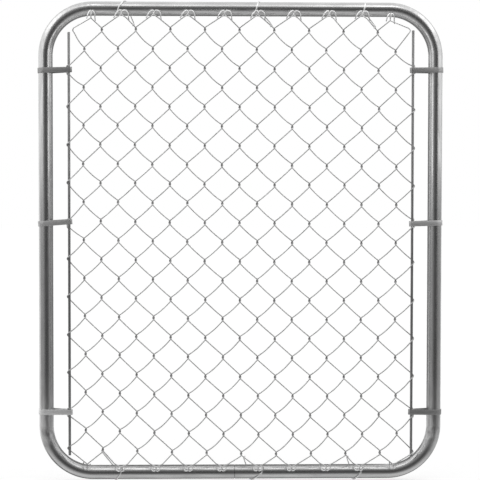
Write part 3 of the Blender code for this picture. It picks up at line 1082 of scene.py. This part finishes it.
# From 0 on the dark side to 1 opposite it.
from_dark = maths(studio, "DIVIDE", maths(studio, "ARCCOSINE", facing.outputs["Value"]), math.pi)
ray_axes = studio.nodes.new("ShaderNodeSeparateXYZ")
studio.links.new(direction, ray_axes.inputs["Vector"])
# From 0 straight down to 1 straight up.
ray_height = maths(studio, "MULTIPLY_ADD", ray_axes.outputs["Z"], 0.5, 0.5)
print("dark side:", [round(v, 3) for v in DARK_SIDE])

# %% [markdown]
# The camera sees plain white all round, and so does the metal where it mirrors the backdrop. Low behind the
# gate the light is taken away again.

# %% World
# Stops of (angle or height, share): light by the angle and by the height, how far the metal sees the white
# backdrop, and what is taken away behind and low down.
DARK_RAMP = ((0.0, 0.06), (0.12, 0.08), (0.20, 0.22), (0.30, 0.34), (0.50, 0.40), (0.62, 0.48), (1.0, 0.48))
HEIGHT_RAMP = ((0.0, 0.30), (0.06, 0.46), (0.14, 0.44), (0.27, 0.14), (0.42, 0.0), (0.79, 0.0), (0.90, 0.9),
               (1.0, 0.5))
BACKDROP_RAMP = ((0.58, 0.0), (0.70, 1.0))
REAR_RAMP = ((0.48, 0.0), (0.66, 0.85))
LOW_RAMP = ((0.15, 1.0), (0.40, 0.0))


def soft_ramp(value, stops):
    return ramp(studio, value, stops, "EASE")


light = studio.nodes.new("ShaderNodeVectorMath")
light.operation = "ADD"
studio.links.new(soft_ramp(from_dark, DARK_RAMP), light.inputs[0])
studio.links.new(soft_ramp(ray_height, HEIGHT_RAMP), light.inputs[1])
ray = studio.nodes.new("ShaderNodeLightPath")
mirrored = maths(studio, "MAXIMUM", ray.outputs["Is Glossy Ray"], ray.outputs["Is Transmission Ray"])
mirrored = maths(studio, "MULTIPLY", mirrored, soft_ramp(from_dark, BACKDROP_RAMP))
lit, white, shown = MIX_SOCKETS["VECTOR"]
backdrop = studio.nodes.new("ShaderNodeMix")
backdrop.data_type = "VECTOR"
sees_white = maths(studio, "MAXIMUM", ray.outputs["Is Camera Ray"], mirrored)
studio.links.new(sees_white, backdrop.inputs["Factor"])
studio.links.new(light.outputs["Vector"], backdrop.inputs[lit])
backdrop.inputs[white].default_value = (1, 1, 1)
studio.links.new(backdrop.outputs[shown], studio.nodes["Background"].inputs["Color"])
low_behind = maths(studio, "MULTIPLY", soft_ramp(from_dark, REAR_RAMP), soft_ramp(ray_height, LOW_RAMP))
studio.links.new(maths(studio, "SUBTRACT", 1.0, low_behind), studio.nodes["Background"].inputs["Strength"])
print("world nodes:", len(studio.nodes))

# %% [markdown]
# ## Camera
# The picture was taken square on from a little above the middle, with a long lens, so the stiles stay
# nearly parallel. The camera looks at a point near the gate's middle from four metres away. Its axes are
# worked out by hand, because it also rolls by a fraction of a degree.

# %% Camera
CAMERA_DISTANCE = 4.0
CAMERA_AZIMUTH = math.radians(-1.634)
CAMERA_ELEVATION = math.radians(2.224)
CAMERA_ROLL = math.radians(0.078)
CAMERA_TARGET = Vector((STILE_X - 0.00218, 0, 0.5899))
SENSOR_WIDTH = 36
LENS_LENGTH = 122.03

away = Vector((math.sin(CAMERA_AZIMUTH) * math.cos(CAMERA_ELEVATION),
               -math.cos(CAMERA_AZIMUTH) * math.cos(CAMERA_ELEVATION), math.sin(CAMERA_ELEVATION)))
level_right = (-away).cross(Vector((0, 0, 1))).normalized()
level_up = level_right.cross(-away)
right = level_right * math.cos(CAMERA_ROLL) + level_up * math.sin(CAMERA_ROLL)
up = level_up * math.cos(CAMERA_ROLL) - level_right * math.sin(CAMERA_ROLL)
camera_data = bpy.data.cameras.new("camera")
camera_data.sensor_width = SENSOR_WIDTH
camera_data.lens = LENS_LENGTH
camera = bpy.data.objects.new("camera", camera_data)
bpy.context.scene.collection.objects.link(camera)
turn_matrix = Matrix((right, up, away)).transposed().to_4x4()
camera.matrix_world = Matrix.Translation(CAMERA_TARGET + away * CAMERA_DISTANCE) @ turn_matrix
bpy.context.scene.camera = camera
bpy.context.scene.view_settings.view_transform = "Standard"
print("camera at", [round(v, 3) for v in camera.matrix_world.translation])
